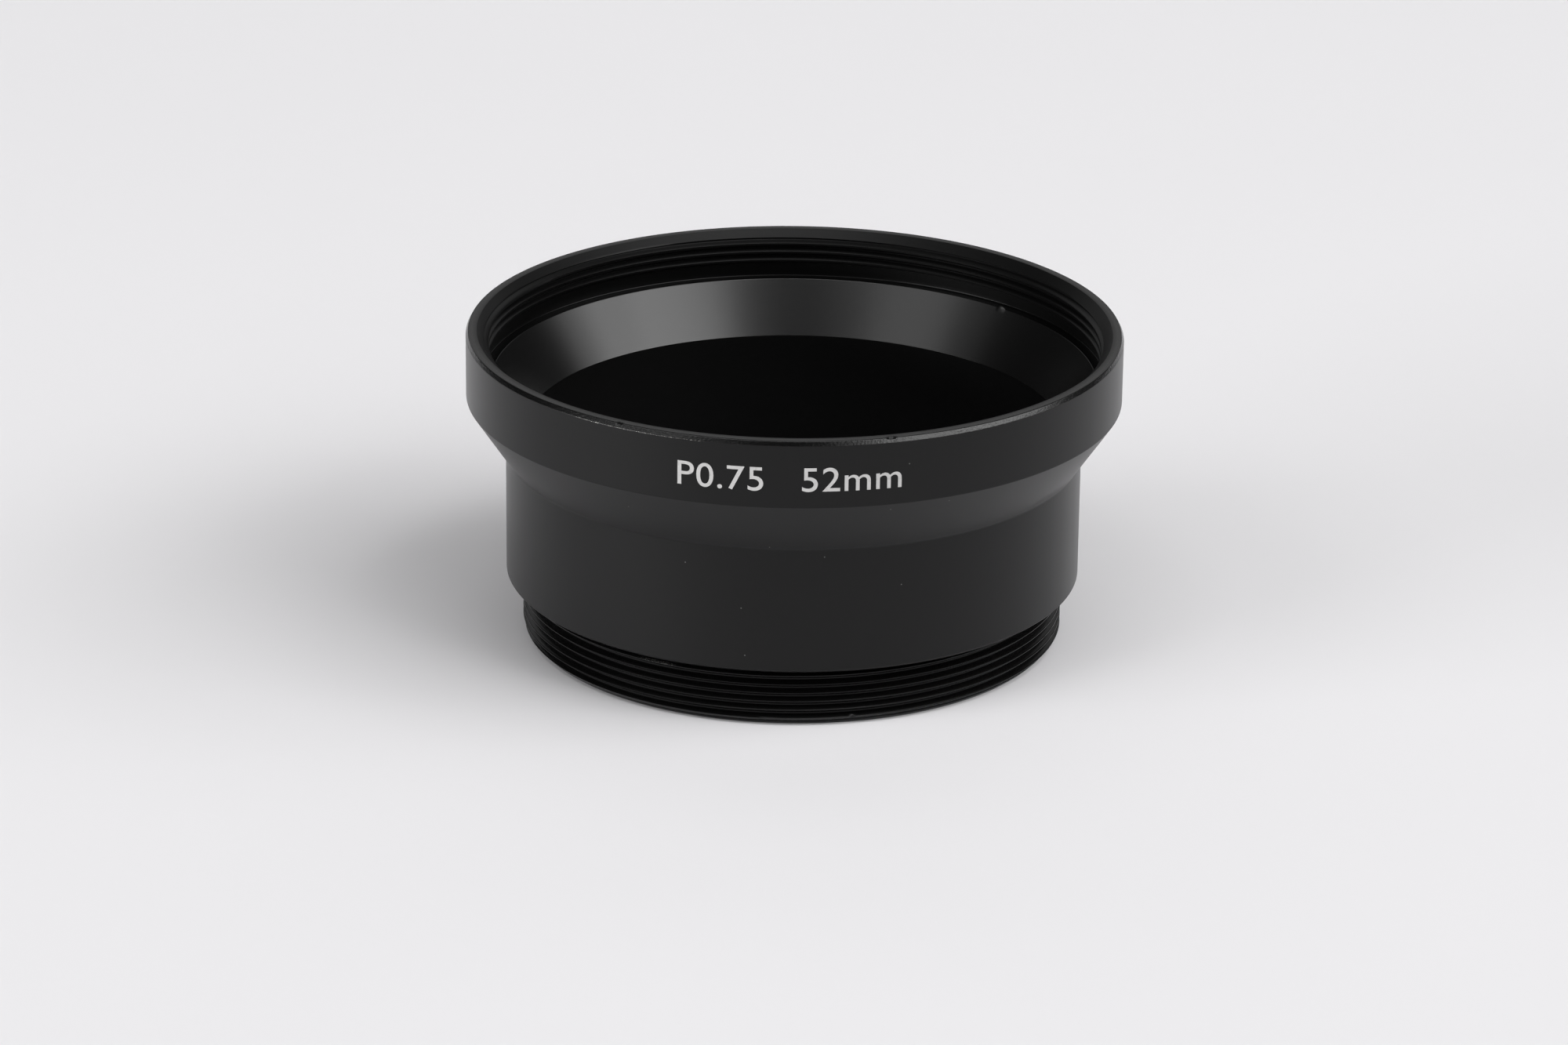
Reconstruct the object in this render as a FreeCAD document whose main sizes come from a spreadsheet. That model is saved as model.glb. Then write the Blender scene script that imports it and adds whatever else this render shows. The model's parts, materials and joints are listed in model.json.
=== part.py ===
import FreeCAD
import Part
import Sketcher
import enum
import os

# A lens adapter tube, turned as one piece from aluminium bar.
# It stands on its camera thread with the filter mouth up: the axis is Z, and the base ring lies at Z 0.
# Both threads are left plain here: the male one at its major, the female one at its minor diameter.

NODE = "adapter_tube"

# Two round edges are the same one within this distance.
MATCH = 0.001


class Axis(enum.IntEnum):
    """The numbers of an outline's two axes. They cross in the start of the first."""

    ACROSS = -1
    UP = -2


class LineEnd(enum.IntEnum):
    """The numbers of a line's two ends."""

    START = 1
    FINISH = 2


# Driving sizes in millimetres: name, value, meaning.
SIZES = (
    ("camera_thread_major", "45.6", "major diameter of the male thread at the camera end"),
    ("camera_thread_length", "4.55", "threaded length, from the base up to the relief"),
    ("camera_lead_bevel", "0.7", "45 degree lead at the foot of the male thread"),
    ("camera_relief_width", "0.75", "height of the run-out groove under the shoulder"),
    ("camera_relief_depth", "0.6", "depth of that groove below the thread's major diameter"),
    ("spigot_wall", "0.8", "metal left between the run-out groove and the throat"),
    ("throat_edge_break", "0.15", "45 degree edge break at the foot of the throat"),
    ("throat_overlap", "1", "how far the throat runs up past the shoulder"),
    ("throat_step_length", "1", "height of the cone that opens the throat to the bore"),
    ("shoulder_width", "1.4", "radial step from the male thread out to the body"),
    ("shoulder_edge_bevel", "0.2", "45 degree edge break at the foot of the body"),
    ("body_length", "10.7", "straight length of the body above the shoulder"),
    ("body_wall", "1.8", "wall of the body"),
    ("flare_length", "4.9", "height of the outside cone from body to collar"),
    ("collar_length", "5.6", "height of the collar above the cone"),
    ("collar_wall", "1.5", "metal outside the filter thread's major diameter"),
    ("rim_bevel_width", "0.2", "radial width of the bevel round the rim"),
    ("rim_bevel_height", "0.37", "height of that bevel"),
    ("filter_thread_major", "52", "major diameter of the female filter thread"),
    ("filter_thread_depth", "0.406", "radial depth of that thread at a pitch of 0.75"),
    ("filter_thread_length", "2.9", "depth of the threaded mouth below the rim"),
    ("mouth_widening", "0.57", "how far the 45 degree mouth opens past the major diameter"),
    ("filter_relief_width", "1.3", "height of the plain recess under the filter thread"),
    ("filter_relief_depth", "0.15", "depth of that recess past the major diameter"),
    ("ledge_width", "0.85", "flat ledge at the foot of the recess"),
    ("inner_flare_length", "4.3", "height of the inside cone from bore to ledge"),
)

# Heights above the base ring.
ZERO = "0"
BASE = ZERO
RELIEF_FOOT = "Sizes.camera_thread_length"
SHOULDER = f"{RELIEF_FOOT} + Sizes.camera_relief_width"
THROAT_TOP = f"{SHOULDER} + Sizes.throat_overlap"
BORE_FOOT = f"{THROAT_TOP} + Sizes.throat_step_length"
BODY_TOP = f"{SHOULDER} + Sizes.body_length"
COLLAR_FOOT = f"{BODY_TOP} + Sizes.flare_length"
RIM = f"{COLLAR_FOOT} + Sizes.collar_length"
RIM_BEVEL_FOOT = f"{RIM} - Sizes.rim_bevel_height"
FILTER_THREAD_FOOT = f"{RIM} - Sizes.filter_thread_length"
LEDGE = f"{FILTER_THREAD_FOOT} - Sizes.filter_relief_width"
BORE_TOP = f"{LEDGE} - Sizes.inner_flare_length"

# Radii from the axis.
CENTRE = ZERO
SPIGOT_RADIUS = "Sizes.camera_thread_major / 2"
RELIEF_RADIUS = f"{SPIGOT_RADIUS} - Sizes.camera_relief_depth"
THROAT_RADIUS = f"{RELIEF_RADIUS} - Sizes.spigot_wall"
BODY_RADIUS = f"{SPIGOT_RADIUS} + Sizes.shoulder_width"
BORE_RADIUS = f"{BODY_RADIUS} - Sizes.body_wall"
COLLAR_RADIUS = "Sizes.filter_thread_major / 2 + Sizes.collar_wall"
RIM_RADIUS = f"{COLLAR_RADIUS} - Sizes.rim_bevel_width"
FILTER_MINOR_RADIUS = "Sizes.filter_thread_major / 2 - Sizes.filter_thread_depth"
RECESS_RADIUS = "Sizes.filter_thread_major / 2 + Sizes.filter_relief_depth"
LEDGE_RADIUS = f"{RECESS_RADIUS} - Sizes.ledge_width"
MOUTH_CHAMFER = "Sizes.filter_thread_depth + Sizes.mouth_widening"


def make_sheet(doc):
    """Writes the driving sizes to a sheet, one row each."""
    sheet = doc.addObject("Spreadsheet::Sheet", "Sizes")
    for row, (name, value, meaning) in enumerate(SIZES, start=1):
        sheet.set(f"A{row}", meaning)
        sheet.set(f"B{row}", value)
        sheet.setAlias(f"B{row}", name)
    doc.recompute()
    return sheet


def number(doc, expression):
    """The present value of an expression in the sizes."""
    return float(doc.getObject("Sizes").evalExpression(expression))


def origin_plane(body, role):
    """The body's own origin plane with this role."""
    return next(plane for plane in body.Origin.OriginFeatures if plane.Role == role)


def pin_corner(sketch, line, corner, doc):
    """Holds the start of a line at its radius and height, on the axes where those are zero."""
    radius, height = corner
    for kind, expression, zero_axis in (("DistanceX", radius, Axis.UP), ("DistanceY", height, Axis.ACROSS)):
        if expression == ZERO:
            sketch.addConstraint(Sketcher.Constraint("PointOnObject", line, LineEnd.START, zero_axis))
            continue
        place = number(doc, expression)
        hold = Sketcher.Constraint(kind, Axis.ACROSS, LineEnd.START, line, LineEnd.START, place)
        index = sketch.addConstraint(hold)
        sketch.setExpression(f"Constraints[{index}]", expression)


def draw_outline(doc, body, name, corners):
    """A closed outline in the half-plane through the axis, from corners given as (radius, height)."""
    sketch = body.newObject("Sketcher::SketchObject", name)
    sketch.AttachmentSupport = [(origin_plane(body, "XZ_Plane"), "")]
    sketch.MapMode = "FlatFace"
    points = [FreeCAD.Vector(number(doc, radius), number(doc, height), 0) for radius, height in corners]
    for start, end in zip(points, points[1:] + points[:1]):
        sketch.addGeometry(Part.LineSegment(start, end), False)
    for line in range(len(points)):
        following = (line + 1) % len(points)
        corner = Sketcher.Constraint("Coincident", line, LineEnd.FINISH, following, LineEnd.START)
        sketch.addConstraint(corner)
    for line, corner in enumerate(corners):
        pin_corner(sketch, line, corner, doc)
    doc.recompute()
    return sketch


def turn(doc, body, name, corners):
    """Turns an outline about the axis into solid metal."""
    sketch = draw_outline(doc, body, f"{name}Outline", corners)
    feature = body.newObject("PartDesign::Revolution", name)
    feature.Profile = sketch
    feature.ReferenceAxis = (sketch, ["V_Axis"])
    feature.Angle = 360
    doc.recompute()
    return feature


def turn_away(doc, body, name, corners):
    """Cuts a turned outline out of the metal, and stops the build if it took nothing away."""
    before = body.Shape.Volume
    sketch = draw_outline(doc, body, f"{name}Outline", corners)
    feature = body.newObject("PartDesign::Groove", name)
    feature.Profile = sketch
    feature.ReferenceAxis = (sketch, ["V_Axis"])
    feature.Angle = 360
    doc.recompute()
    if body.Shape.Volume >= before:
        raise RuntimeError(f"{name} cut nothing")
    return feature


def round_edge(doc, shape, radius, height):
    """The name of the round edge at this radius and height."""
    for index, edge in enumerate(shape.Edges, start=1):
        if not isinstance(edge.Curve, Part.Circle):
            continue
        if abs(edge.Curve.Radius - number(doc, radius)) > MATCH:
            continue
        if abs(edge.Curve.Center.z - number(doc, height)) < MATCH:
            return f"Edge{index}"
    raise RuntimeError(f"no round edge at radius {radius}, height {height}")


def bevel(doc, body, name, size, radius, height):
    """Breaks the round edge at this radius and height at 45 degrees."""
    base = body.Tip
    edge = round_edge(doc, base.Shape, radius, height)
    feature = body.newObject("PartDesign::Chamfer", name)
    feature.Base = (base, [edge])
    feature.setExpression("Size", size)
    doc.recompute()
    return feature


def build_tube(doc):
    """The tube: a turned blank, its bore, the two thread run-outs, and its broken edges."""
    body = doc.addObject("PartDesign::Body", "AdapterTube")
    body.Label = NODE
    turn(doc, body, "Blank", (
        (CENTRE, BASE),
        (SPIGOT_RADIUS, BASE),
        (SPIGOT_RADIUS, SHOULDER),
        (BODY_RADIUS, SHOULDER),
        (BODY_RADIUS, BODY_TOP),
        (COLLAR_RADIUS, COLLAR_FOOT),
        (COLLAR_RADIUS, RIM_BEVEL_FOOT),
        (RIM_RADIUS, RIM),
        (CENTRE, RIM),
    ))
    turn_away(doc, body, "LightPath", (
        (CENTRE, BASE),
        (THROAT_RADIUS, BASE),
        (THROAT_RADIUS, THROAT_TOP),
        (BORE_RADIUS, BORE_FOOT),
        (BORE_RADIUS, BORE_TOP),
        (LEDGE_RADIUS, LEDGE),
        (FILTER_MINOR_RADIUS, LEDGE),
        (FILTER_MINOR_RADIUS, RIM),
        (CENTRE, RIM),
    ))
    turn_away(doc, body, "CameraRelief", (
        (RELIEF_RADIUS, RELIEF_FOOT),
        (BODY_RADIUS, RELIEF_FOOT),
        (BODY_RADIUS, SHOULDER),
        (RELIEF_RADIUS, SHOULDER),
    ))
    turn_away(doc, body, "FilterRelief", (
        (LEDGE_RADIUS, LEDGE),
        (RECESS_RADIUS, LEDGE),
        (RECESS_RADIUS, FILTER_THREAD_FOOT),
        (LEDGE_RADIUS, FILTER_THREAD_FOOT),
    ))
    bevel(doc, body, "MouthChamfer", MOUTH_CHAMFER, FILTER_MINOR_RADIUS, RIM)
    bevel(doc, body, "LeadBevel", "Sizes.camera_lead_bevel", SPIGOT_RADIUS, BASE)
    bevel(doc, body, "ShoulderBevel", "Sizes.shoulder_edge_bevel", BODY_RADIUS, SHOULDER)
    bevel(doc, body, "ThroatBreak", "Sizes.throat_edge_break", THROAT_RADIUS, BASE)
    return body


def check(doc, body):
    """Stops the build if any feature failed or the solid isn't whole."""
    for item in doc.Objects:
        if "Invalid" in item.State or "Error" in item.State:
            raise RuntimeError(f"{item.Label} failed: {item.State}")
    if body.Shape.isNull() or not body.Shape.isValid():
        raise RuntimeError(f"{body.Label} has no valid shape")
    if len(body.Shape.Solids) != 1:
        raise RuntimeError(f"{body.Label} is not one solid")


def main():
    """Builds the tube and writes its solid."""
    doc = FreeCAD.newDocument("LensAdapterTube")
    make_sheet(doc)
    tube = build_tube(doc)
    doc.recompute()
    check(doc, tube)
    os.makedirs("parts", exist_ok=True)
    tube.Shape.exportStep(f"parts/{tube.Label}.step")
    box = tube.Shape.BoundBox
    print(f"{tube.Label}: {box.XLength:.2f} x {box.YLength:.2f} x {box.ZLength:.2f} mm, "
          f"{tube.Shape.Volume / 1000:.2f} cm3")


main()
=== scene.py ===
# The looks of a lens adapter tube: both threads cut, a black anodised finish, a white size mark
# and a studio.
import json
import logging
import math
from dataclasses import dataclass
from enum import Enum, IntEnum
from typing import Any

import bmesh
import bpy
import numpy as np
from mathutils import Matrix, Vector


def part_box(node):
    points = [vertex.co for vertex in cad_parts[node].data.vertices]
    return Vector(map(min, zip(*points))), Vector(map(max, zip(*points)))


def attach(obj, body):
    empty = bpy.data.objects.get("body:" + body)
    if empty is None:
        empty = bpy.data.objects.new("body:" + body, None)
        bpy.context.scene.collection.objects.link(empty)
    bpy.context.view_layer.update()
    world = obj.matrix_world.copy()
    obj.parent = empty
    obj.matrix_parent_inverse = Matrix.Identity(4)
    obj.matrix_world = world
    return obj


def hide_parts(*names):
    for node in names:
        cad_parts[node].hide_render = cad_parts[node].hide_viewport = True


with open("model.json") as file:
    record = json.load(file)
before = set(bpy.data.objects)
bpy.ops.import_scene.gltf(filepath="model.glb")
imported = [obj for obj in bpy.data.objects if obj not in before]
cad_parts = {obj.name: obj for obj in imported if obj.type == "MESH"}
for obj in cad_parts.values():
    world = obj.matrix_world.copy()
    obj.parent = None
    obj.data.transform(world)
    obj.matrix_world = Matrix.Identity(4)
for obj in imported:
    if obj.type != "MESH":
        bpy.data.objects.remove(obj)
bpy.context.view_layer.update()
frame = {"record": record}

log = logging.getLogger("lens_adapter_tube")

Tree = bpy.types.NodeTree
Socket = bpy.types.NodeSocket
Point = tuple[float, float, float]

MM = 0.001
NODE = "adapter_tube"
BODY = "root"

# Azimuths on the tube are degrees to the right of its front, which faces -Y.
FRONT_TURN = 0.75
FULL_TURN = 360.0
# Vertices nearer than this are one vertex, in metres.
WELD = 1e-6
# Edges that turn by more than this many degrees stay crisp.
CRISP = 32.0
# Most of a noise pattern's values lie in this span.
NOISE_SPAN = (0.3, 0.7)


def linear(colour: str) -> tuple[float, float, float, float]:
    """Turns an sRGB hex colour into linear light.

    Args:
        colour: six hex digits after a hash sign
    Returns:
        red, green, blue and a full alpha
    """
    def channel(start: int) -> float:
        """One channel of the colour in linear light."""
        level = int(colour[start:start + 2], 16) / 255
        return level / 12.92 if level <= 0.04045 else ((level + 0.055) / 1.055) ** 2.4

    return channel(1), channel(3), channel(5), 1.0


def per_metre(size: float) -> float:
    """The scale of a pattern whose features are this many millimetres wide."""
    return 1.0 / (size * MM)


def add_node(tree: Tree, kind: str, inputs: dict[str | int, Any] | None = None,
             **settings: Any) -> bpy.types.Node:
    """Adds a node with its settings and links.

    Args:
        tree: the node tree to add to
        kind: the node's type name
        inputs: input name or number to a value, or to the output socket that feeds it
        settings: properties of the node itself
    Returns:
        the new node
    """
    made = tree.nodes.new(kind)
    for name, value in settings.items():
        setattr(made, name, value)
    for name, value in (inputs or {}).items():
        if isinstance(value, Socket):
            tree.links.new(value, made.inputs[name])
        else:
            made.inputs[name].default_value = value
    return made


def new_material(name: str) -> tuple[bpy.types.Material, Tree]:
    """Makes an empty node material.

    Args:
        name: the material's name
    Returns:
        the material and its empty node tree
    """
    material = bpy.data.materials.new(name)
    material.use_nodes = True
    material.node_tree.nodes.clear()
    return material, material.node_tree


def unit(vector: np.ndarray) -> np.ndarray:
    """The vector at length one."""
    return vector / np.linalg.norm(vector)


def round_tube(azimuth: np.ndarray, radius: np.ndarray, height: np.ndarray) -> np.ndarray:
    """Turns azimuths in radians, and radii and heights in millimetres, into points in metres."""
    return np.column_stack([radius * np.sin(azimuth), -radius * np.cos(azimuth), height]) * MM


def points_of(mesh: bpy.types.Mesh) -> np.ndarray:
    """Reads where a mesh's vertices are.

    Args:
        mesh: the mesh to read
    Returns:
        one row of coordinates for each vertex
    """
    flat = np.empty(len(mesh.vertices) * 3)
    mesh.vertices.foreach_get("co", flat)
    return flat.reshape(-1, 3)


def move_points(mesh: bpy.types.Mesh, points: np.ndarray) -> None:
    """Moves a mesh's vertices to new places, one row for each."""
    mesh.vertices.foreach_set("co", points.ravel())


def weld(mesh: bpy.types.Mesh) -> None:
    """Joins vertices that lie on each other, drops faces without area and turns the rest outwards.

    Args:
        mesh: the mesh to weld
    """
    work = bmesh.new()
    work.from_mesh(mesh)
    bmesh.ops.remove_doubles(work, verts=work.verts, dist=WELD)
    bmesh.ops.recalc_face_normals(work, faces=work.faces)
    work.to_mesh(mesh)
    work.free()


def add_piece(name: str, mesh: bpy.types.Mesh, *finishes: bpy.types.Material) -> bpy.types.Object:
    """Puts a mesh with its finishes into the scene.

    Args:
        name: the new object's name
        mesh: its mesh
        finishes: its materials, in the order of the mesh's slots
    Returns:
        the new object
    """
    piece = bpy.data.objects.new(name, mesh)
    for finish in finishes:
        mesh.materials.append(finish)
    bpy.context.scene.collection.objects.link(piece)
    return piece


@dataclass(frozen=True)
class BlackAnodisedAluminium:
    """Aluminium, turned, blasted with fine beads on its walls, then anodised and dyed black.

    The oxide is a clear ceramic with black dye in its pores. To the eye it is no metal any more: a
    deep black under a soft satin sheen, which mirrors little from the front and much at a grazing
    angle. The cone inside, the rim and the male thread kept the tool's finish, so their highlights
    are tighter and follow the turning lines. The female thread and its recess were cut less cleanly
    and are duller. Where an edge was rubbed, bare metal glints in specks.
    """

    name: str = "black_anodised_blasted_aluminium"
    motes: tuple[Point, ...] = ()
    dye: str = "#050505"
    bare_metal: str = "#8d8c89"
    dust: str = "#70706e"
    # The pores of the oxide are dyed, so its face mirrors about half as much as glass does.
    sheen_level: float = 0.27
    blasted_roughness: float = 0.32
    tooled_roughness: float = 0.27
    torn_roughness: float = 0.4
    matt_roughness: float = 0.6
    rubbed_roughness: float = 0.42
    # Bead blasting leaves pits of about 0.04 mm. They are too fine to show, so they are drawn three
    # times as wide.
    pit_width: float = 0.12
    # The tool's feed lines of about 0.05 mm are drawn at 0.1 mm for the same reason. They break off
    # and start again.
    line_width: float = 0.1
    line_length: float = 0.6
    relief_depth: float = 0.003
    # The dye takes unevenly over a few millimetres.
    dye_patch: float = 5.0
    dye_change: float = 0.08
    # Rubbed edges break up into specks, which go from dyed to bare over this much of the noise.
    rub_speck: float = 0.06
    rub_fade: float = 0.15
    mote_width: float = 0.14

    def build(self) -> bpy.types.Material:
        """Builds the material.

        Returns:
            the material
        """
        material, tree = new_material(self.name)
        place = add_node(tree, "ShaderNodeTexCoord").outputs["Object"]
        rubbed = self._rubbed(tree, place)
        dusty = self._dusty(tree, place)
        patches = add_node(tree, "ShaderNodeTexNoise", {
            "Vector": place, "Scale": per_metre(self.dye_patch), "Detail": 3.0})
        shade = add_node(tree, "ShaderNodeMapRange", {
            "Value": patches.outputs[0], "From Min": NOISE_SPAN[0], "From Max": NOISE_SPAN[1],
            "To Min": 1.0 - self.dye_change, "To Max": 1.0 + self.dye_change})
        dyed = add_node(tree, "ShaderNodeVectorMath", {
            0: linear(self.dye)[:3], "Scale": shade.outputs[0]}, operation="SCALE")
        worn = add_node(tree, "ShaderNodeMix", {
            "Factor": rubbed, "A": dyed.outputs[0], "B": linear(self.bare_metal)}, data_type="RGBA")
        colour = add_node(tree, "ShaderNodeMix", {
            "Factor": dusty, "A": worn.outputs["Result"], "B": linear(self.dust)}, data_type="RGBA")
        cut = add_node(tree, "ShaderNodeAttribute", attribute_name=AdapterTube.FINISH)
        finish = cut.outputs["Fac"]
        gloss = add_node(tree, "ShaderNodeMix", {
            "Factor": rubbed, "A": finish, "B": self.rubbed_roughness})
        surface = add_node(tree, "ShaderNodeBsdfPrincipled", {
            "Base Color": colour.outputs["Result"], "Metallic": rubbed,
            "Roughness": gloss.outputs[0], "Specular IOR Level": self.sheen_level,
            "Normal": self._relief(tree, place, finish)})
        add_node(tree, "ShaderNodeOutputMaterial", {"Surface": surface.outputs[0]})
        return material

    def _rubbed(self, tree: Tree, place: Socket) -> Socket:
        """Where the dye is gone: the edge's own share of wear, broken up into specks.

        Args:
            tree: the material's node tree
            place: the point on the surface
        Returns:
            a share from 0, dyed, to 1, bare
        """
        wear = add_node(tree, "ShaderNodeAttribute", attribute_name=AdapterTube.WEAR)
        speck = add_node(tree, "ShaderNodeTexNoise", {
            "Vector": place, "Scale": per_metre(self.rub_speck), "Detail": 2.0})
        level = add_node(tree, "ShaderNodeMath", {
            0: 1.0, 1: wear.outputs["Fac"]}, operation="SUBTRACT")
        edge = add_node(tree, "ShaderNodeMath", {
            0: speck.outputs[0], 1: level.outputs[0]}, operation="SUBTRACT")
        share = add_node(tree, "ShaderNodeMapRange", {
            "Value": edge.outputs[0], "From Min": 0.0, "From Max": self.rub_fade})
        return share.outputs[0]

    def _dusty(self, tree: Tree, place: Socket) -> Socket | float:
        """Where a mote of dust lies.

        Args:
            tree: the material's node tree
            place: the point on the surface
        Returns:
            a share from 0, clean, to 1, covered
        """
        covered: Socket | float = 0.0
        mote_radius = self.mote_width * MM / 2
        for mote in self.motes:
            away = add_node(tree, "ShaderNodeVectorMath", {0: place, 1: mote}, operation="DISTANCE")
            spot = add_node(tree, "ShaderNodeMapRange", {
                "Value": away.outputs["Value"], "From Min": mote_radius, "From Max": 0.0})
            both = add_node(tree, "ShaderNodeMath", {
                0: covered, 1: spot.outputs[0]}, operation="MAXIMUM")
            covered = both.outputs[0]
        return covered

    def _relief(self, tree: Tree, place: Socket, finish: Socket) -> Socket:
        """The blasted pits, or the lines that the tool left round the axis.

        Args:
            tree: the material's node tree
            place: the point on the surface
            finish: roughness of the finish there
        Returns:
            the bumped normal
        """
        pits = add_node(tree, "ShaderNodeTexNoise", {
            "Vector": place, "Scale": per_metre(self.pit_width), "Detail": 2.0})
        parts = add_node(tree, "ShaderNodeSeparateXYZ", {0: place}).outputs
        level = add_node(tree, "ShaderNodeVectorMath", {
            0: place, 1: (1.0, 1.0, 0.0)}, operation="MULTIPLY")
        radius = add_node(tree, "ShaderNodeVectorMath", {0: level.outputs[0]}, operation="LENGTH")
        across = add_node(tree, "ShaderNodeMath", {
            0: radius.outputs["Value"], 1: parts["Z"]}, operation="ADD")
        drawn_out = add_node(tree, "ShaderNodeMath", {
            0: across.outputs[0], 1: self.line_length / self.line_width}, operation="MULTIPLY")
        along = add_node(tree, "ShaderNodeCombineXYZ", {
            "X": parts["X"], "Y": parts["Y"], "Z": drawn_out.outputs[0]})
        lines = add_node(tree, "ShaderNodeTexNoise", {
            "Vector": along.outputs[0], "Scale": per_metre(self.line_length), "Detail": 1.0})
        tooled = add_node(tree, "ShaderNodeMapRange", {
            "Value": finish, "From Min": self.blasted_roughness, "From Max": self.tooled_roughness})
        height = add_node(tree, "ShaderNodeMix", {
            "Factor": tooled.outputs[0], "A": pits.outputs[0], "B": lines.outputs[0]})
        bump = add_node(tree, "ShaderNodeBump", {
            "Height": height.outputs[0], "Distance": self.relief_depth * MM})
        return bump.outputs[0]


@dataclass(frozen=True)
class WhiteMarkingPaint:
    """White enamel, printed in a thin film and baked: a flat, even white with a slight tooth."""

    white: str = "#b6b5b4"
    thin_white: str = "#a6a5a4"
    roughness: float = 0.5
    # The film thins out in patches, where the noise passes through this span.
    film_patch: float = 0.35
    thin_span: tuple[float, float] = (0.55, 0.75)

    def build(self) -> bpy.types.Material:
        """Builds the material.

        Returns:
            the material
        """
        material, tree = new_material("white_printed_enamel")
        place = add_node(tree, "ShaderNodeTexCoord").outputs["Object"]
        film = add_node(tree, "ShaderNodeTexNoise", {
            "Vector": place, "Scale": per_metre(self.film_patch), "Detail": 3.0})
        cover = add_node(tree, "ShaderNodeMapRange", {
            "Value": film.outputs[0], "From Min": self.thin_span[0], "From Max": self.thin_span[1]})
        colour = add_node(tree, "ShaderNodeMix", {
            "Factor": cover.outputs[0], "A": linear(self.white),
            "B": linear(self.thin_white)}, data_type="RGBA")
        surface = add_node(tree, "ShaderNodeBsdfPrincipled", {
            "Base Color": colour.outputs["Result"], "Roughness": self.roughness})
        add_node(tree, "ShaderNodeOutputMaterial", {"Surface": surface.outputs[0]})
        return material


@dataclass(frozen=True)
class MattBackgroundPaper:
    """Heavy white background paper, uncoated. It is matt and takes soft shadows."""

    paper: str = "#e9e8ea"
    shaded: str = "#e7e6e8"
    roughness: float = 0.9
    sheen_level: float = 0.1
    # The paper's tone changes a little over a few centimetres.
    cloud: float = 60.0

    def build(self) -> bpy.types.Material:
        """Builds the material.

        Returns:
            the material
        """
        material, tree = new_material("matt_background_paper")
        place = add_node(tree, "ShaderNodeTexCoord").outputs["Object"]
        clouds = add_node(tree, "ShaderNodeTexNoise", {
            "Vector": place, "Scale": per_metre(self.cloud), "Detail": 2.0})
        colour = add_node(tree, "ShaderNodeMix", {
            "Factor": clouds.outputs[0], "A": linear(self.paper),
            "B": linear(self.shaded)}, data_type="RGBA")
        surface = add_node(tree, "ShaderNodeBsdfPrincipled", {
            "Base Color": colour.outputs["Result"], "Roughness": self.roughness,
            "Specular IOR Level": self.sheen_level})
        add_node(tree, "ShaderNodeOutputMaterial", {"Surface": surface.outputs[0]})
        return material


class ThreadSide(Enum):
    """Which way the grooves of a thread are cut."""

    MALE = "inwards, from an outside wall"
    FEMALE = "outwards, from an inside wall"


@dataclass(frozen=True)
class Thread:
    """A single-start right-hand thread with flanks at 60 degrees, in millimetres.

    Attributes:
        side: which way its grooves are cut
        crest_radius: radius of the wall left between the grooves
        depth: radial depth of the grooves
        crest_width: height of the flat that is left on a crest
        foot: height of the lower end
        top: height of the upper end
        front_crest: height of one crest at the front
        lead_radius: radius at which the 45 degree lead meets the end face
        lead_height: height of that end face
        pitch: rise of one turn
    """

    side: ThreadSide
    crest_radius: float
    depth: float
    crest_width: float
    foot: float
    top: float
    front_crest: float
    lead_radius: float
    lead_height: float
    pitch: float = 0.75

    # How far a flank climbs for each millimetre of depth.
    FLANK = math.tan(math.radians(30.0))
    # Rows stand this far to each side of the edges of crests and roots, which breaks those edges.
    EDGE_BREAK = 0.014
    FLANK_STEPS = 3

    def radius(self, height: np.ndarray, turn: np.ndarray) -> np.ndarray:
        """Radius of the threaded wall.

        Args:
            height: heights of the points
            turn: their shares of a full turn, from +X towards +Y
        Returns:
            their radii
        """
        turns_up = (height - self.front_crest) / self.pitch - (turn - FRONT_TURN)
        off_crest = np.abs(turns_up - np.round(turns_up)) * self.pitch
        cut = np.clip((off_crest - self.crest_width / 2) / self.FLANK, 0.0, self.depth)
        lead = self.lead_radius + height - self.lead_height
        if self.side is ThreadSide.MALE:
            return np.minimum(self.crest_radius - cut, lead)
        return np.maximum(self.crest_radius + cut, lead)

    def offsets(self) -> list[float]:
        """Heights above a crest at which its profile needs a row.

        Returns:
            heights from just over minus half a pitch to half a pitch
        """
        crest = self.crest_width / 2
        root = crest + self.depth * self.FLANK
        flank = np.linspace(crest + self.EDGE_BREAK, root - self.EDGE_BREAK, self.FLANK_STEPS + 1)
        above = [crest - self.EDGE_BREAK, *flank, root + self.EDGE_BREAK]
        return sorted([*(-offset for offset in above), *above, self.pitch / 2])

    def rows(self, turns: np.ndarray) -> list[np.ndarray]:
        """Rows of the wall, going up. They climb with the thread and are cut off at its ends.

        Args:
            turns: the columns' shares of a full turn
        Returns:
            one array of radii and heights for each row
        """
        crest = self.front_crest - FRONT_TURN * self.pitch
        lowest = self.foot - self.pitch
        first = math.floor((lowest - crest) / self.pitch)
        last = math.ceil((self.top - crest) / self.pitch)
        starts = [crest + turn * self.pitch + offset
                  for turn in range(first, last + 1) for offset in self.offsets()]
        rows = []
        for start in [lowest, *(s for s in starts if lowest < s < self.top), self.top]:
            height = np.clip(start + turns * self.pitch, self.foot, self.top)
            rows.append(np.column_stack([self.radius(height, turns), height]))
        return rows


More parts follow.
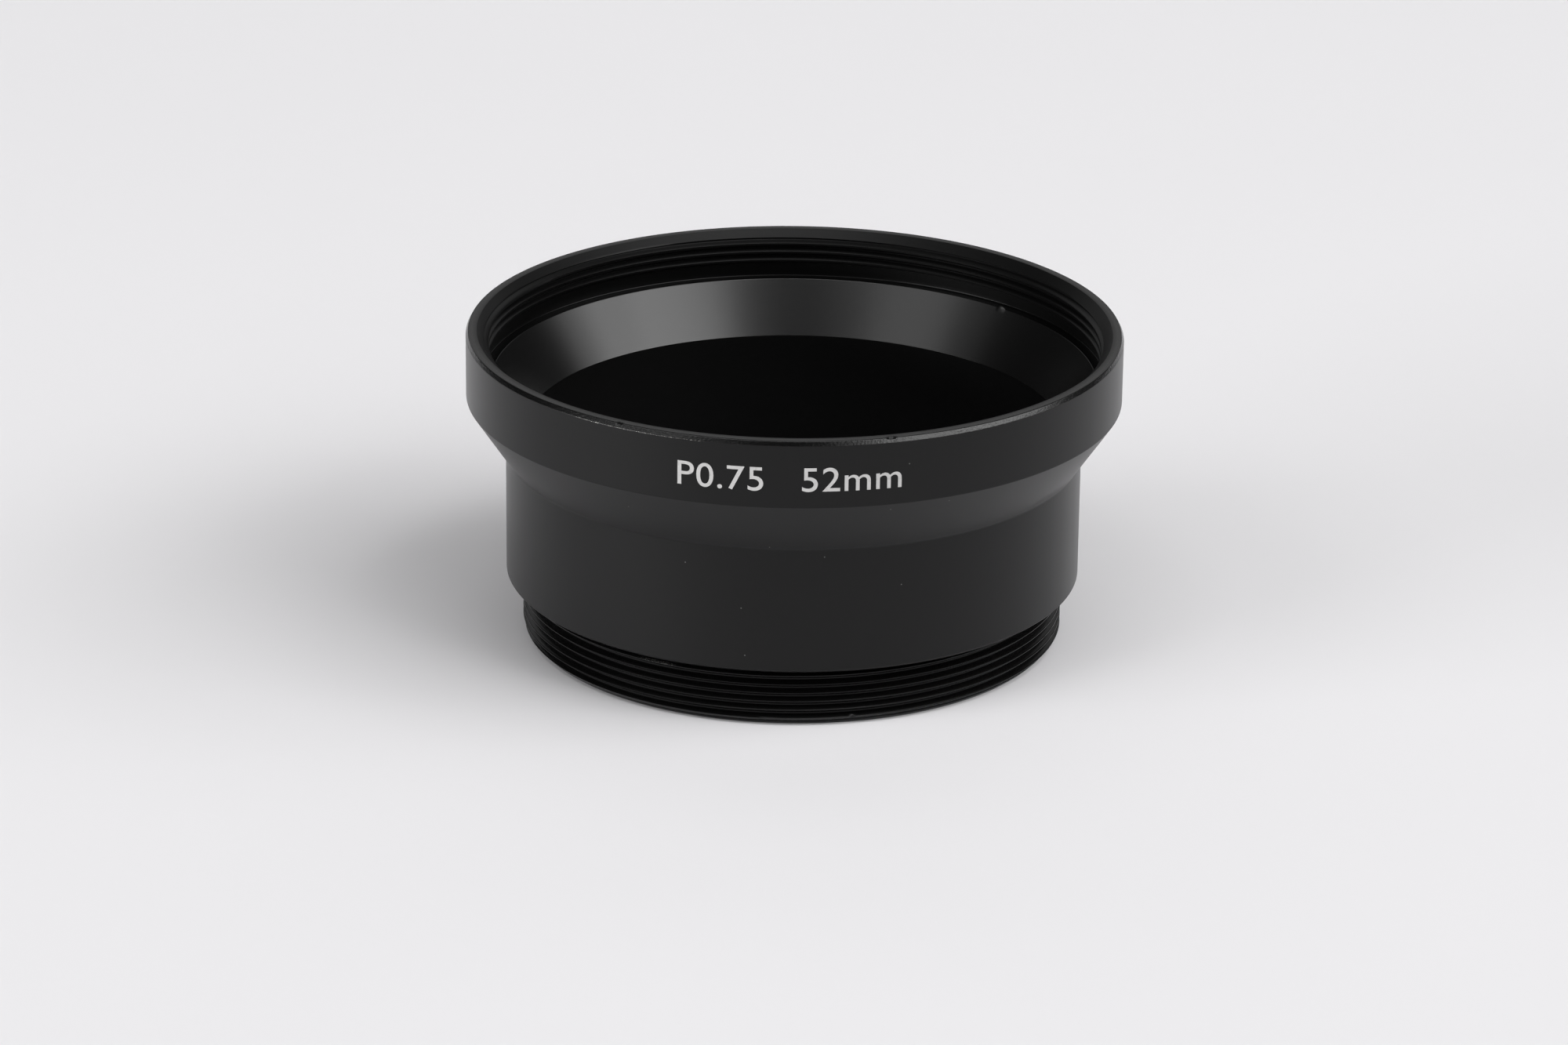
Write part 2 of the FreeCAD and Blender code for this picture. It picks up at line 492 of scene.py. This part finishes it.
@dataclass(frozen=True)
class Corner:
    """A corner of the turned section, in millimetres.

    Attributes:
        radius: distance from the axis
        height: height above the base ring
        edge_break: radius that rounds the corner
    """

    radius: float
    height: float
    edge_break: float = 0.04

    ARC_STEPS = 3
    # Rings this far from each rounding keep the flats flat under smooth shading, and end a knock or
    # a rub.
    SUPPORTS = (0.05, 0.3, 0.4)

    @property
    def point(self) -> np.ndarray:
        """The corner as a point of the section."""
        return np.array([self.radius, self.height])

    def rounded(self, before: np.ndarray, after: np.ndarray) -> list[np.ndarray]:
        """Points of the section round this corner.

        Args:
            before: the corner before it
            after: the corner after it
        Returns:
            the arc, with support points before and after it
        """
        back, on = unit(before - self.point), unit(after - self.point)
        half = math.acos(float(np.clip(back @ on, -1.0, 1.0))) / 2
        reach = self.edge_break / math.tan(half)
        centre = self.point + unit(back + on) * self.edge_break / math.sin(half)
        first, last = self.point + back * reach - centre, self.point + on * reach - centre
        sweep = math.pi - 2 * half

        def on_arc(share: float) -> np.ndarray:
            """The point at a share of the way along the arc."""
            turned = math.sin((1 - share) * sweep) * first + math.sin(share * sweep) * last
            return centre + turned / math.sin(sweep)

        def supports(way: np.ndarray, neighbour: np.ndarray) -> list[np.ndarray]:
            """Points beside the arc, as far as the middle of the run to the neighbour.

            Args:
                way: the direction to the neighbour, at length one
                neighbour: the next corner on that side
            Returns:
                the points, going away from the arc
            """
            room = np.linalg.norm(neighbour - self.point) / 2
            steps = [reach + step for step in self.SUPPORTS]
            return [self.point + way * step for step in steps if step < room]

        arc = [on_arc(share) for share in np.linspace(0.0, 1.0, self.ARC_STEPS + 1)]
        return [*reversed(supports(back, before)), *arc, *supports(on, after)]


@dataclass(frozen=True)
class Knock:
    """A small knock or burr on an edge, in millimetres.

    Attributes:
        azimuth: degrees to the right of the front
        corner: radius and height of its middle
        length: how far it runs round the tube
        width: how far it reaches across the edge
        push: radial and upward move of the metal at its middle
    """

    azimuth: float
    corner: tuple[float, float]
    length: float
    width: float
    push: tuple[float, float]


@dataclass(frozen=True)
class Rub:
    """A stretch of edge that has lost some of its dye.

    Attributes:
        azimuths: where it starts and ends, in degrees to the right of the front
        corner: radius and height of the edge, in millimetres
        width: how far it reaches across the edge, in millimetres
        amount: share of the dye that is gone
    """

    azimuths: tuple[float, float]
    corner: tuple[float, float]
    width: float
    amount: float

    # Degrees over which a rub fades in and out.
    FADE = 6.0
    # A rub is full within half its width of the edge and gone at this many widths.
    REACH = 1.5


class Skin(IntEnum):
    """The finishes of the tube, in the order of its material slots."""

    WALL = 0
    BEVEL = 1
    CONE = 2
    BORE = 3
    THREAD = 4


@dataclass
class AdapterTube:
    """The tube, turned in one piece with a thread at each end, in millimetres.

    The sizes without a default come from the frame. The others are those of the CAD solid, which
    has the threads as plain walls. Their depths and crest widths are the usual ones for their
    pitch, and the heights of their crests at the front are the photograph's.
    """

    height: float
    collar_radius: float
    camera_major_radius: float
    filter_minor_radius: float
    throat_radius: float
    bore_radius: float
    camera_thread_depth: float = 0.46
    camera_crest_width: float = 0.094
    camera_front_crest: float = 1.42
    camera_thread_top: float = 4.55
    lead_bevel: float = 0.7
    relief_radius: float = 22.2
    shoulder: float = 5.3
    shoulder_bevel: float = 0.2
    body_radius: float = 24.2
    body_top: float = 16.0
    collar_foot: float = 20.9
    rim_bevel_width: float = 0.2
    rim_bevel_height: float = 0.37
    mouth_radius: float = 26.57
    filter_thread_depth: float = 0.406
    filter_crest_width: float = 0.1875
    filter_front_crest: float = 24.24
    filter_thread_foot: float = 23.6
    recess_radius: float = 26.15
    ledge: float = 22.3
    ledge_radius: float = 25.3
    bore_top: float = 18.0
    bore_foot: float = 7.3
    throat_top: float = 6.3
    throat_break: float = 0.15
    columns: int = 300

    PIECE = "turned_tube"
    # What each vertex tells the finishes: how far it is rubbed, and how rough its finish is.
    WEAR = "wear"
    FINISH = "finish"
    # Round a knock the columns stand closer, so that it has a shape of its own. Reach and least
    # distance are in degrees.
    KNOCK_REACH = 1.6
    KNOCK_COLUMNS = 13
    CLOSEST_COLUMNS = 0.1
    # Azimuth and height of each mote of dust on the outside wall.
    MOTE_SPOTS = ((-30.3, 19.0), (16.8, 20.3), (27.5, 20.4), (19.7, 24.2), (-20.9, 14.25),
                  (-9.7, 10.8), (-8.9, 6.7), (-4.3, 16.3), (6.2, 15.4), (21.5, 12.5))

    @classmethod
    def from_frame(cls) -> "AdapterTube":
        """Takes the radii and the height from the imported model.

        Returns:
            the tube at its real size
        """
        _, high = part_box(NODE)
        radii = {mount["name"]: mount["dims"].get("r_mm") for mount in frame["record"]["mounts"]}
        return cls(height=high.z / MM, collar_radius=high.x / MM,
                   camera_major_radius=radii["camera_thread"],
                   filter_minor_radius=radii["filter_thread"], throat_radius=radii["throat"],
                   bore_radius=radii["bore"])

    @property
    def rim_radius(self) -> float:
        """Outer radius of the rim's flat."""
        return self.collar_radius - self.rim_bevel_width

    @property
    def rim_bevel_foot(self) -> float:
        """Height at which the rim's bevel starts."""
        return self.height - self.rim_bevel_height

    @property
    def camera_thread(self) -> Thread:
        """The male thread at the foot.

        Returns:
            the thread, with its lead at the base ring
        """
        return Thread(ThreadSide.MALE, self.camera_major_radius, self.camera_thread_depth,
                      self.camera_crest_width, foot=0.0, top=self.camera_thread_top,
                      front_crest=self.camera_front_crest,
                      lead_radius=self.camera_major_radius - self.lead_bevel, lead_height=0.0)

    @property
    def filter_thread(self) -> Thread:
        """The female thread in the mouth.

        Returns:
            the thread, with its lead at the rim
        """
        return Thread(ThreadSide.FEMALE, self.filter_minor_radius, self.filter_thread_depth,
                      self.filter_crest_width, foot=self.filter_thread_foot, top=self.height,
                      front_crest=self.filter_front_crest, lead_radius=self.mouth_radius,
                      lead_height=self.height)

    def knocks(self) -> list[Knock]:
        """The knocks and burrs that the tube has taken.

        Returns:
            the knocks, from the rim down
        """
        rim = (self.rim_radius, self.height)
        ledge = (self.ledge_radius, self.ledge)
        lead = (self.camera_major_radius, self.lead_bevel)
        return [
            Knock(16.6, rim, length=0.9, width=0.13, push=(-0.02, -0.13)),
            Knock(-30.6, rim, length=0.7, width=0.12, push=(-0.04, -0.05)),
            Knock(135.1, ledge, length=0.9, width=0.22, push=(0.0, 0.2)),
            Knock(12.8, lead, length=0.6, width=0.25, push=(-0.12, 0.0)),
        ]

    def rubs(self) -> list[Rub]:
        """The edges that are rubbed.

        Returns:
            the rubs, from the rim down
        """
        bevel_foot = (self.collar_radius, self.rim_bevel_foot)
        top_crest = (self.camera_major_radius, self.camera_thread_top)
        lead = (self.camera_major_radius, self.lead_bevel)
        return [
            Rub((-180.0, 180.0), bevel_foot, width=0.06, amount=0.3),
            Rub((-45.0, -10.0), bevel_foot, width=0.06, amount=0.49),
            Rub((-38.0, -20.0), top_crest, width=0.3, amount=0.48),
            Rub((9.0, 16.0), lead, width=0.15, amount=0.5),
        ]

    def motes(self) -> tuple[Point, ...]:
        """The motes of dust on the outside wall.

        Returns:
            their places, in metres
        """
        azimuths, heights = np.array(self.MOTE_SPOTS).T
        radii = np.interp(heights, [self.body_top, self.collar_foot],
                          [self.body_radius, self.collar_radius])
        return tuple(map(tuple, round_tube(np.radians(azimuths), radii, heights).tolist()))

    def skins(self) -> dict[Skin, BlackAnodisedAluminium]:
        """The finishes of the wall, the rim's bevel, the cone inside, the bore and the threads.

        Returns:
            each skin's finish
        """
        return {
            Skin.WALL: BlackAnodisedAluminium(motes=self.motes()),
            # The bevel is brighter and, as the beads hit it hardest, grainy. Its pits are drawn
            # five times as wide as they are, so that they show.
            Skin.BEVEL: BlackAnodisedAluminium(
                "black_anodised_coarse_blasted_bevel", sheen_level=0.42, blasted_roughness=0.23,
                tooled_roughness=0.2, pit_width=0.2, relief_depth=0.02),
            # The cone came cleanest off the tool and shines most.
            Skin.CONE: BlackAnodisedAluminium("black_anodised_fine_turned_cone", sheen_level=0.5),
            # The bore was blasted coarsely, so that it throws no light at the lens: it mirrors next
            # to nothing.
            Skin.BORE: BlackAnodisedAluminium("black_anodised_matt_blasted_bore", sheen_level=0.08),
            # Flanks and crests were torn a little by the cut, and mirror less than a plain wall.
            Skin.THREAD: BlackAnodisedAluminium("black_anodised_cut_thread", sheen_level=0.18),
        }

    def angles(self) -> np.ndarray:
        """The columns' shares of a full turn, evenly spaced and denser round the knocks.

        Returns:
            shares from 0 to 1, both included
        """
        even = np.linspace(0.0, 1.0, self.columns + 1)
        offsets = np.linspace(-self.KNOCK_REACH, self.KNOCK_REACH, self.KNOCK_COLUMNS)
        near = [((knock.azimuth + offset) / FULL_TURN + FRONT_TURN) % 1.0
                for knock in self.knocks() for offset in offsets]
        shares = np.sort(np.concatenate([even, near]))
        apart = np.diff(shares, prepend=-1.0) > self.CLOSEST_COLUMNS / FULL_TURN
        apart[-1] = True
        return shares[apart]

    def outside(self) -> list[Corner]:
        """The section's corners from the top of the male thread to the rim.

        Returns:
            the corners, going up
        """
        return [
            Corner(self.relief_radius, self.camera_thread_top, edge_break=0.06),
            Corner(self.relief_radius, self.shoulder, edge_break=0.06),
            Corner(self.body_radius - self.shoulder_bevel, self.shoulder),
            Corner(self.body_radius, self.shoulder + self.shoulder_bevel),
            Corner(self.body_radius, self.body_top, edge_break=0.3),
            Corner(self.collar_radius, self.collar_foot, edge_break=0.15),
            Corner(self.collar_radius, self.rim_bevel_foot, edge_break=0.06),
            Corner(self.rim_radius, self.height, edge_break=0.1),
        ]

    def inside(self) -> list[Corner]:
        """The section's corners from the foot of the female thread to the base ring.

        Returns:
            the corners, going down
        """
        return [
            Corner(self.recess_radius, self.filter_thread_foot),
            Corner(self.recess_radius, self.ledge, edge_break=0.1),
            Corner(self.ledge_radius, self.ledge, edge_break=0.05),
            Corner(self.bore_radius, self.bore_top, edge_break=0.08),
            Corner(self.bore_radius, self.bore_foot, edge_break=0.1),
            Corner(self.throat_radius, self.throat_top, edge_break=0.1),
            Corner(self.throat_radius, self.throat_break, edge_break=0.03),
            Corner(self.throat_radius + self.throat_break, 0.0, edge_break=0.03),
        ]

    def rows(self, turns: np.ndarray) -> tuple[list[np.ndarray], list[np.ndarray]]:
        """All rows of the closed section: up the outside to the rim, then down the inside.

        Args:
            turns: the columns' shares of a full turn
        Returns:
            the rows of the outside and those of the inside, each an array of radii and heights
        """
        male, female = self.camera_thread, self.filter_thread
        spigot_top = np.array([male.crest_radius, male.top])
        mouth_top = np.array([female.lead_radius, female.top])
        mouth_foot = np.array([female.crest_radius, female.foot])
        base = np.array([male.lead_radius, male.foot])

        def rings(start: np.ndarray, corners: list[Corner], end: np.ndarray) -> list[np.ndarray]:
            """Rings round the rounded corners between two ends.

            Args:
                start: the point of the section before the first corner
                corners: the corners to round
                end: the point of the section after the last corner
            Returns:
                one array of radii and heights for each ring
            """
            points = [start, *(corner.point for corner in corners), end]
            section = [point for index, corner in enumerate(corners)
                       for point in corner.rounded(points[index], points[index + 2])]
            return [np.tile(point, (len(turns), 1)) for point in section]

        outside = [*male.rows(turns), *rings(spigot_top, self.outside(), mouth_top)]
        inside = [*reversed(female.rows(turns)), *rings(mouth_foot, self.inside(), base)]
        return outside, inside

    def build(self) -> bpy.types.Object:
        """Builds and dresses the tube.

        Returns:
            the piece that stands for the CAD solid
        """
        turns = self.angles()
        outside, inside = self.rows(turns)
        rows = np.array(outside + inside)
        radius, height = rows[..., 0], rows[..., 1]
        angle = turns * 2 * math.pi
        points = np.stack([radius * np.cos(angle), radius * np.sin(angle), height], axis=-1) * MM
        row_count, column_count = radius.shape
        corner = np.arange(row_count * column_count).reshape(row_count, column_count)
        above = np.roll(corner, -1, axis=0)
        quads = np.stack([corner[:, :-1], corner[:, 1:], above[:, 1:], above[:, :-1]], axis=-1)
        mesh = bpy.data.meshes.new(self.PIECE)
        mesh.from_pydata(points.reshape(-1, 3).tolist(), [], quads.reshape(-1, 4).tolist())
        zones = np.repeat(self._zones(rows, len(outside)), column_count - 1)
        mesh.polygons.foreach_set("material_index", zones)
        skins = self.skins()
        finishes = self._finishes(height, len(outside), skins[Skin.WALL], skins[Skin.BEVEL])
        finish = mesh.attributes.new(self.FINISH, "FLOAT", "POINT")
        finish.data.foreach_set("value", finishes.ravel())
        weld(mesh)
        self._knock(mesh)
        self._wear(mesh)
        mesh.shade_smooth()
        mesh.set_sharp_from_angle(angle=math.radians(CRISP))
        piece = add_piece(self.PIECE, mesh, *(skins[skin].build() for skin in Skin))
        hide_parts(NODE)
        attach(piece, BODY)
        return piece

    def _zones(self, rows: np.ndarray, outside_count: int) -> np.ndarray:
        """Which finish each strip between two rows has.

        Args:
            rows: radii and heights of all rows
            outside_count: how many rows the outside has
        Returns:
            the number of each strip's skin
        """
        radius, height = rows.max(axis=1).T
        inside = np.arange(len(rows)) >= outside_count
        zones = np.select(
            [~inside & (radius > self.rim_radius) & (height > self.rim_bevel_foot),
             inside & (height < self.ledge) & (height > self.bore_top),
             inside & (height < self.bore_top),
             np.where(inside, height > self.ledge, height < self.camera_thread_top)],
            [Skin.BEVEL, Skin.CONE, Skin.BORE, Skin.THREAD], Skin.WALL)
        return np.where(zones == np.roll(zones, -1), zones, Skin.WALL)

    def _finishes(self, heights: np.ndarray, outside_count: int, wall: BlackAnodisedAluminium,
                  bevel: BlackAnodisedAluminium) -> np.ndarray:
        """Roughness of each point's finish.

        Walls and bevel are blasted. The rim, the cone and the male thread are as the tool left
        them, the female thread and its recess torn, and the bore matt.

        Args:
            heights: heights of the rows' points
            outside_count: how many rows the outside has
            wall: the finish of the wall
            bevel: the finish of the rim's bevel
        Returns:
            a roughness for each point
        """
        outside, inside = heights[:outside_count], heights[outside_count:]
        step = Corner.SUPPORTS[0] / 2
        return np.concatenate([
            np.select([outside < self.camera_thread_top, outside < self.rim_bevel_foot + step,
                       outside < self.height - step],
                      [wall.tooled_roughness, wall.blasted_roughness, bevel.blasted_roughness],
                      wall.tooled_roughness),
            np.select([inside > self.ledge + 2 * step, inside > self.bore_top - step],
                      [wall.torn_roughness, wall.tooled_roughness], wall.matt_roughness)])

    @staticmethod
    def _polar(mesh: bpy.types.Mesh) -> np.ndarray:
        """Each vertex as its azimuth in degrees, radius and height in millimetres."""
        x, y, z = points_of(mesh).T / MM
        return np.column_stack([np.degrees(np.arctan2(x, -y)), np.hypot(x, y), z])

    def _knock(self, mesh: bpy.types.Mesh) -> None:
        """Moves the metal at each knock.

        Args:
            mesh: the tube's mesh
        """
        azimuth, radius, height = self._polar(mesh).T
        for knock in self.knocks():
            middle_radius, middle_height = knock.corner
            round_off = np.radians(azimuth - knock.azimuth) * middle_radius / (knock.length / 2)
            across = np.hypot(radius - middle_radius, height - middle_height) / knock.width
            share = np.clip(1.0 - round_off ** 2, 0.0, 1.0) * np.clip(1.0 - across ** 2, 0.0, 1.0)
            radius = radius + share * knock.push[0]
            height = height + share * knock.push[1]
        move_points(mesh, round_tube(np.radians(azimuth), radius, height))

    def _wear(self, mesh: bpy.types.Mesh) -> None:
        """Writes each vertex's share of wear.

        Args:
            mesh: the tube's mesh
        """
        azimuth, radius, height = self._polar(mesh).T
        wear = np.zeros(len(azimuth))
        for rub in self.rubs():
            start, end = rub.azimuths
            inside = np.minimum(azimuth - start, end - azimuth) / Rub.FADE
            across = np.hypot(radius - rub.corner[0], height - rub.corner[1]) / rub.width
            share = np.clip(inside, 0.0, 1.0) * np.clip(Rub.REACH - across, 0.0, 1.0)
            wear = np.maximum(wear, rub.amount * share)
        mesh.attributes.new(self.WEAR, "FLOAT", "POINT").data.foreach_set("value", wear)


@dataclass(frozen=True)
class Word:
    """A word of the mark, and where it starts and ends in degrees to the right of the front."""

    text: str
    start: float
    end: float


@dataclass
class SizeMark:
    """The pitch and the size of the filter thread, printed in white round the front of the collar.

    Attributes:
        collar_radius: radius that the letters are laid round, in millimetres as all its sizes
        words: the words and their places
        capital_height: height of a capital letter or a figure
        baseline: height of the letters' foot
        ink_spread: how much ink spreads the strokes, as a share of the letters' size
        letter_spacing: distance between letters, as a share of the usual one
        film: how far the ink stands proud of the collar
        sunk: how far the letters reach into the collar
        strip: width of the upright strips that follow the collar
    """

    collar_radius: float
    words: tuple[Word, ...] = (Word("P0.75", -19.6, -4.95), Word("52mm", 1.5, 18.35))
    capital_height: float = 2.01
    baseline: float = 22.31
    ink_spread: float = 0.002
    letter_spacing: float = 1.05
    film: float = 0.012
    sunk: float = 0.02
    strip: float = 0.25

    PIECE = "thread_size_mark"
    # The letters start as plates of thickness 1, which becomes the film and what is sunk.
    HALF_PLATE = 0.5
    CURVE_STEPS = 6

    def build(self) -> bpy.types.Object:
        """Builds and dresses the mark.

        Returns:
            the printed mark
        """
        work = bmesh.new()
        for word in self.words:
            letters = self._flat_letters(word)
            work.from_mesh(letters)
            bpy.data.meshes.remove(letters)
        self._cut_into_strips(work)
        mesh = bpy.data.meshes.new(self.PIECE)
        work.to_mesh(mesh)
        work.free()
        self._wrap(mesh)
        piece = add_piece(self.PIECE, mesh, WhiteMarkingPaint().build())
        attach(piece, BODY)
        return piece

    def _round(self, azimuth: float) -> float:
        """How far round the collar an azimuth is from the front."""
        return math.radians(azimuth) * self.collar_radius

    def _flat_letters(self, word: Word) -> bpy.types.Mesh:
        """A word as flat plates, scaled to its height and width.

        Args:
            word: the word to draw
        Returns:
            a mesh in millimetres, its front at x 0, its baseline at y 0 and its faces at z 0 and 1
        """
        curve = bpy.data.curves.new(self.PIECE, "FONT")
        curve.body = word.text
        curve.extrude = self.HALF_PLATE
        curve.offset = self.ink_spread
        curve.space_character = self.letter_spacing
        curve.resolution_u = self.CURVE_STEPS
        letters = bpy.data.objects.new(self.PIECE, curve)
        bpy.context.scene.collection.objects.link(letters)
        shaped = letters.evaluated_get(bpy.context.evaluated_depsgraph_get())
        mesh = bpy.data.meshes.new_from_object(shaped)
        bpy.data.objects.remove(letters)
        bpy.data.curves.remove(curve)
        points = points_of(mesh)
        low, high = points.min(axis=0), points.max(axis=0)
        start, end = self._round(word.start), self._round(word.end)
        points[:, 0] = start + (points[:, 0] - low[0]) * (end - start) / (high[0] - low[0])
        points[:, 1] *= self.capital_height / high[1]
        points[:, 2] += self.HALF_PLATE
        move_points(mesh, points)
        return mesh

    def _cut_into_strips(self, work: bmesh.types.BMesh) -> None:
        """Cuts the letters into upright strips, so that they can follow the collar.

        Args:
            work: the flat letters
        """
        bmesh.ops.remove_doubles(work, verts=work.verts, dist=WELD)
        start, end = self._round(self.words[0].start), self._round(self.words[-1].end)
        for place in np.arange(start + self.strip, end, self.strip):
            bmesh.ops.bisect_plane(work, geom=[*work.verts, *work.edges, *work.faces],
                                   plane_co=(place, 0.0, 0.0), plane_no=(1.0, 0.0, 0.0))

    def _wrap(self, mesh: bpy.types.Mesh) -> None:
        """Lays the flat letters round the collar, a film's thickness proud of it.

        Args:
            mesh: the flat letters in strips
        """
        across, up, out = points_of(mesh).T
        radius = self.collar_radius - self.sunk + out * (self.film + self.sunk)
        move_points(mesh, round_tube(across / self.collar_radius, radius, self.baseline + up))
        weld(mesh)


@dataclass(frozen=True)
class Softbox:
    """A soft lamp that faces the tube.

    Attributes:
        name: the lamp's name
        azimuth: degrees to the right of the camera's side
        elevation: degrees above the floor
        width: metres
        height: metres
        power: watts
        distance: metres from the tube
    """

    name: str
    azimuth: float
    elevation: float
    width: float
    height: float
    power: float
    distance: float = 4.0

    def build(self) -> bpy.types.Object:
        """Hangs the lamp.

        Returns:
            the lamp
        """
        lamp = bpy.data.lights.new(self.name, "AREA")
        lamp.shape = "RECTANGLE"
        lamp.size = self.width
        lamp.size_y = self.height
        lamp.energy = self.power
        turn, rise = math.radians(self.azimuth), math.radians(self.elevation)
        level = math.cos(rise)
        outwards = Vector((math.sin(turn) * level, -math.cos(turn) * level, math.sin(rise)))
        hung = bpy.data.objects.new(self.name, lamp)
        hung.location = outwards * self.distance
        hung.rotation_euler = outwards.to_track_quat("Z", "Y").to_euler()
        bpy.context.scene.collection.objects.link(hung)
        return hung


# A tent of soft light, strong on the right, low on the left and weak behind.
SOFTBOXES = (
    Softbox("right_sail", azimuth=66.0, elevation=35.0, width=6.4, height=2.0, power=66.0),
    Softbox("right_softbox", azimuth=56.0, elevation=37.0, width=2.4, height=1.6, power=39.2),
    Softbox("low_right_softbox", azimuth=84.0, elevation=27.0, width=1.6, height=1.4, power=21.6),
    Softbox("high_right_softbox", azimuth=62.0, elevation=60.0, width=2.8, height=1.4, power=27.2),
    Softbox("left_sail", azimuth=-57.0, elevation=44.0, width=4.4, height=1.8, power=10.4),
    Softbox("left_softbox", azimuth=-57.0, elevation=43.0, width=2.0, height=1.4, power=13.2),
    Softbox("low_left_softbox", azimuth=-62.0, elevation=8.0, width=2.4, height=1.1, power=116.0),
    Softbox("back_sail", azimuth=180.0, elevation=28.0, width=6.0, height=2.0, power=20.0),
    Softbox("high_back_softbox", azimuth=180.0, elevation=62.0, width=3.2, height=1.4, power=7.2),
    Softbox("high_front_softbox", azimuth=0.0, elevation=68.0, width=3.2, height=1.2, power=47.2),
)


@dataclass
class Studio:
    """The floor, the lamps, the surroundings and the camera of the photograph.

    Attributes:
        softboxes: the lamps
        floor_side: side of the paper, in metres
        far_paper: colour of the paper past the floor's edge
        dark_room: colour of the room above it
        horizon_fade: where the far paper starts to fade and where it is gone, as sines of the
            elevation
        eye: the camera's place, in millimetres
        aim: the point that it looks at, in millimetres
        roll: degrees by which it is turned on its axis
        lens: its focal length, in millimetres
        sensor: width of its sensor, in millimetres
        near_clip: least distance that it sees, in metres
    """

    softboxes: tuple[Softbox, ...] = SOFTBOXES
    floor_side: float = 2.4
    far_paper: str = "#e6e5e7"
    dark_room: str = "#303030"
    horizon_fade: tuple[float, float] = (0.02, 0.06)
    eye: Point = (0.0, -473.813, 191.639)
    aim: Point = (-0.724, 0.0, 9.073)
    roll: float = 0.648
    lens: float = 137.715
    sensor: float = 36.0
    near_clip: float = 0.01

    def build(self) -> None:
        """Builds the floor, the surroundings, the lamps and the camera."""
        self._lay_floor()
        self._fill_room()
        for softbox in self.softboxes:
            softbox.build()
        self._place_camera()

    def _lay_floor(self) -> None:
        """Lays the paper that the tube stands on."""
        half = self.floor_side / 2
        mesh = bpy.data.meshes.new("paper_floor")
        corners = [(-half, -half, 0.0), (half, -half, 0.0), (half, half, 0.0), (-half, half, 0.0)]
        mesh.from_pydata(corners, [], [(0, 1, 2, 3)])
        add_piece("paper_floor", mesh, MattBackgroundPaper().build())

    def _fill_room(self) -> None:
        """Lets the pale paper go on past the horizon, under a dark room."""
        world = bpy.data.worlds.new("dark_room")
        world.use_nodes = True
        tree = world.node_tree
        tree.nodes.clear()
        way = add_node(tree, "ShaderNodeTexCoord").outputs["Generated"]
        height = add_node(tree, "ShaderNodeSeparateXYZ", {0: way}).outputs["Z"]
        above = add_node(tree, "ShaderNodeMapRange", {
            "Value": height, "From Min": self.horizon_fade[0], "From Max": self.horizon_fade[1]})
        colour = add_node(tree, "ShaderNodeMix", {
            "Factor": above.outputs[0], "A": linear(self.far_paper),
            "B": linear(self.dark_room)}, data_type="RGBA")
        light = add_node(tree, "ShaderNodeBackground", {"Color": colour.outputs["Result"]})
        add_node(tree, "ShaderNodeOutputWorld", {"Surface": light.outputs[0]})
        bpy.context.scene.world = world

    def _place_camera(self) -> None:
        """Places the camera where the photograph was taken from."""
        eye, aim = Vector(self.eye) * MM, Vector(self.aim) * MM
        data = bpy.data.cameras.new("photo_camera")
        data.sensor_fit = "HORIZONTAL"
        data.sensor_width = self.sensor
        data.lens = self.lens
        data.clip_start = self.near_clip
        camera = bpy.data.objects.new("photo_camera", data)
        look = (aim - eye).to_track_quat("-Z", "Y").to_matrix().to_4x4()
        tilt = Matrix.Rotation(math.radians(self.roll), 4, "Z")
        camera.matrix_world = Matrix.Translation(eye) @ look @ tilt
        bpy.context.scene.collection.objects.link(camera)
        bpy.context.scene.camera = camera


def report(piece: bpy.types.Object) -> None:
    """Logs a piece's name and how many triangles it has."""
    triangles = sum(len(face.vertices) - 2 for face in piece.data.polygons)
    log.info("%s: %d triangles", piece.name, triangles)


def main() -> None:
    """Builds the tube, its size mark and the studio."""
    logging.basicConfig(level=logging.INFO, format="%(name)s: %(message)s")
    bpy.context.scene.view_settings.view_transform = "Standard"
    tube = AdapterTube.from_frame()
    report(tube.build())
    report(SizeMark(tube.collar_radius).build())
    Studio().build()


if __name__ == "__main__":
    main()
